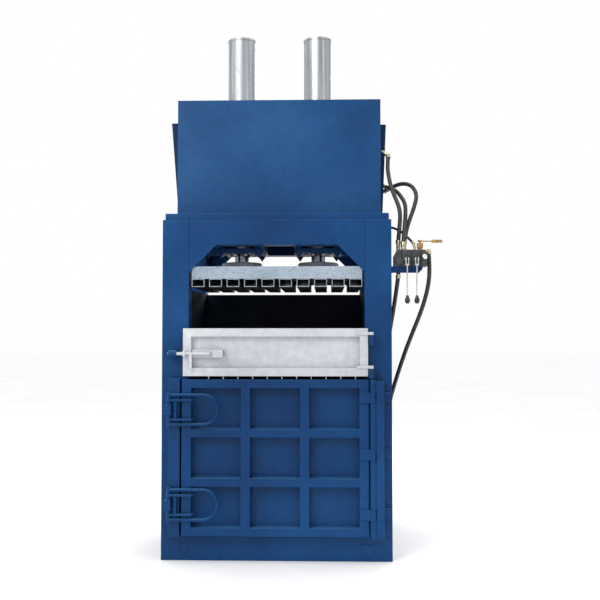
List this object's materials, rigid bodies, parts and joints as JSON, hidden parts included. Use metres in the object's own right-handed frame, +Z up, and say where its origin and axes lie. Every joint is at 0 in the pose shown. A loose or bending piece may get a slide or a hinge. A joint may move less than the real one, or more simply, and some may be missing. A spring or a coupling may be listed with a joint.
{
  "type": "recycling baler",
  "caption": "Vertical twin-cylinder hydraulic baler: steel frame, pressing platen, feed door, latched lower door, lever valve and rear power unit.",
  "frame": {"origin": "centre of the base frame's underside, at floor level", "axes": "+Z up, +X to the right seen from the doors, -Y out of the doors"},
  "size_m": [1.7166, 1.355, 3.303],
  "materials": {
    "blue_paint": "satin enamel",
    "pale_grey_paint": "satin enamel",
    "platen_grey": "satin enamel, rubbed",
    "silver_barrel": "drawn, bright",
    "chromed_rod": "polished",
    "zinc_steel": "zinc plated",
    "lever_steel": "bright drawn",
    "cast_body": "dark cast",
    "polished_cap": "polished",
    "brass": "machined",
    "zinc_fitting": "yellow zinc",
    "black_knob": "gloss",
    "motor_paint": "satin enamel",
    "fan_plastic": "matte",
    "hose_rubber": "matte, fabric marked"
  },
  "bodies": {
    "press": {"base_beams": "blue_paint", "floor_plate": "blue_paint", "columns": "blue_paint", "lintels": "blue_paint", "corner_gussets": "blue_paint", "side_walls": "blue_paint", "rear_wall": "blue_paint", "wall_ribs": "blue_paint", "top_tray": "blue_paint", "cylinder_beams": "blue_paint", "cylinder_mounts": "blue_paint", "cylinder_heads": "silver_barrel", "cylinder_bolts": "zinc_steel", "cylinder_barrels": "silver_barrel", "hood_panels": "blue_paint", "hood_side_covers": "blue_paint", "door_posts": "blue_paint", "latch_lugs": "blue_paint", "bolt_keeper": "blue_paint", "hinge_knuckles": "blue_paint", "hinge_rod": "blue_paint", "feed_door_gudgeons": "blue_paint", "valve_bracket": "blue_paint", "valve_body": "cast_body", "relief_cap": "polished_cap", "ball_valve": "brass", "hose_fittings": "zinc_fitting", "oil_tank": "blue_paint", "tank_lid": "blue_paint", "motor": "motor_paint", "pump": "cast_body", "lift_hose": "hose_rubber", "right_press_hose": "hose_rubber", "left_press_hose": "hose_rubber", "drain_hose": "hose_rubber", "pump_hose": "hose_rubber", "return_hose": "hose_rubber"},
    "platen": {"platen": "platen_grey", "platen_tubes": "platen_grey", "rod_flanges": "platen_grey", "rods": "chromed_rod", "pistons": "zinc_steel"},
    "feed_door": {"feed_door_frame": "pale_grey_paint", "feed_door_panel": "pale_grey_paint", "feed_hinge_straps": "pale_grey_paint", "bolt_guides": "pale_grey_paint"},
    "slide_bolt": {"slide_bolt": "pale_grey_paint"},
    "lower_door": {"door_grid": "blue_paint", "door_skin": "blue_paint", "door_straps": "blue_paint"},
    "upper_claw": {"upper_claw": "blue_paint"},
    "upper_handle": {"upper_handle": "blue_paint"},
    "lower_claw": {"lower_claw": "blue_paint"},
    "lower_handle": {"lower_handle": "blue_paint"},
    "left_lever": {"left_lever": "lever_steel", "left_knob": "black_knob"},
    "right_lever": {"right_lever": "lever_steel", "right_knob": "black_knob"},
    "ball_lever": {"ball_lever": "brass"},
    "motor_rotor": {"motor_fan": "fan_plastic"}
  },
  "joints": [
    {"name": "platen_stroke", "type": "slide", "parent": "press", "child": "platen", "axis": [0, 0, 1], "range_m": [-1, 0]},
    {"name": "feed_door_hinge", "type": "hinge", "parent": "press", "child": "feed_door", "pos_m": [0.572, -0.506, 1.26], "axis": [0, 0, 1], "range_deg": [0, 110]},
    {"name": "bolt_slide", "type": "slide", "parent": "feed_door", "child": "slide_bolt", "axis": [1, 0, 0], "range_m": [0, 0.07]},
    {"name": "lower_door_hinge", "type": "hinge", "parent": "press", "child": "lower_door", "pos_m": [0.58, -0.514, 0.626], "axis": [0, 0, 1], "range_deg": [0, 110]},
    {"name": "upper_claw_swing", "type": "hinge", "parent": "press", "child": "upper_claw", "pos_m": [-0.64, -0.528, 0.9135], "axis": [0, 0, 1], "range_deg": [-110, 0]},
    {"name": "upper_handle_swing", "type": "hinge", "parent": "press", "child": "upper_handle", "pos_m": [-0.64, -0.528, 0.9135], "axis": [0, 0, 1], "range_deg": [-110, 0]},
    {"name": "lower_claw_swing", "type": "hinge", "parent": "press", "child": "lower_claw", "pos_m": [-0.64, -0.528, 0.349], "axis": [0, 0, 1], "range_deg": [-110, 0]},
    {"name": "lower_handle_swing", "type": "hinge", "parent": "press", "child": "lower_handle", "pos_m": [-0.64, -0.528, 0.349], "axis": [0, 0, 1], "range_deg": [-110, 0]},
    {"name": "left_lever_tilt", "type": "hinge", "parent": "press", "child": "left_lever", "pos_m": [0.792, -0.472, 1.818], "axis": [1, 0, 0], "range_deg": [-18, 18], "stiffness_Nm_per_rad": 3},
    {"name": "right_lever_tilt", "type": "hinge", "parent": "press", "child": "right_lever", "pos_m": [0.85, -0.472, 1.818], "axis": [1, 0, 0], "range_deg": [-18, 18], "stiffness_Nm_per_rad": 3},
    {"name": "ball_lever_turn", "type": "hinge", "parent": "press", "child": "ball_lever", "pos_m": [0.878, -0.38, 1.933], "axis": [0, 0, 1], "range_deg": [-90, 0]},
    {"name": "motor_spin", "type": "hinge", "parent": "press", "child": "motor_rotor", "pos_m": [0.16, 0.69, 0.7], "axis": [1, 0, 0], "continuous": true}
  ]
}
